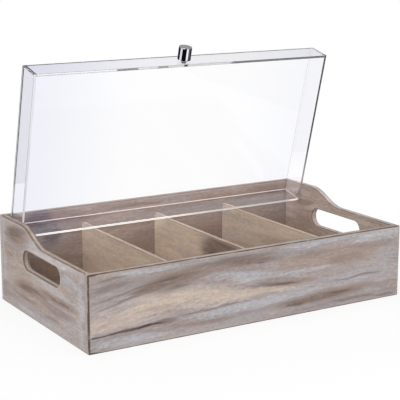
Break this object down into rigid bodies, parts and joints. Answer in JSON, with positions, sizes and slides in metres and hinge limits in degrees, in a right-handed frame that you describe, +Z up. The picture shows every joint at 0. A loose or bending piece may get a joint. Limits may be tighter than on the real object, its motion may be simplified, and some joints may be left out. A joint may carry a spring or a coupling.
{
  "type": "cutlery organizer",
  "caption": "Shallow wooden cutlery box with parallel compartments, curved side panels with hand slots, and a clear hinged lid with a round front knob.",
  "frame": {"origin": "on the floor under the middle of the box", "axes": "+X along the hinge, to the right as seen from the front; -Y out of the front panel; +Z up"},
  "size_m": [0.45, 0.252, 0.3242],
  "materials": {
    "whitewashed_wood": "whitewashed and brushed, brown showing through, dark edges",
    "inner_wood": "plain light board with a thin brown stain",
    "clear_acrylic": "clear, polished",
    "nylon": "pale, slightly see-through",
    "chrome": "polished",
    "steel": "plain bright steel"
  },
  "bodies": {
    "box": {"front_panel": "whitewashed_wood", "back_panel": "whitewashed_wood", "left_side_panel": "whitewashed_wood", "right_side_panel": "whitewashed_wood", "bottom_board": "inner_wood", "divider_1": "inner_wood", "divider_2": "inner_wood", "divider_3": "inner_wood", "hinge_pin_left": "nylon", "hinge_pin_right": "nylon", "hinge_washer_left": "nylon", "hinge_washer_right": "nylon", "front_brad_1": "steel", "front_brad_2": "steel", "front_brad_3": "steel", "front_brad_4": "steel", "front_brad_5": "steel", "front_brad_6": "steel", "front_brad_7": "steel", "front_brad_8": "steel", "front_brad_9": "steel", "back_brad_1": "steel", "back_brad_2": "steel", "back_brad_3": "steel", "back_brad_4": "steel", "back_brad_5": "steel", "back_brad_6": "steel", "back_brad_7": "steel", "back_brad_8": "steel", "back_brad_9": "steel"},
    "lid": {"lid_cover": "clear_acrylic", "lid_left_end": "clear_acrylic", "lid_right_end": "clear_acrylic", "lid_knob": "chrome", "knob_screw": "steel", "knob_washer": "nylon"}
  },
  "joints": [
    {"name": "lid_hinge", "type": "hinge", "parent": "box", "child": "lid", "pos_m": [0, 0.08462, 0.0992], "axis": [1, 0, 0], "range_deg": [-19.5, 75.1]}
  ]
}
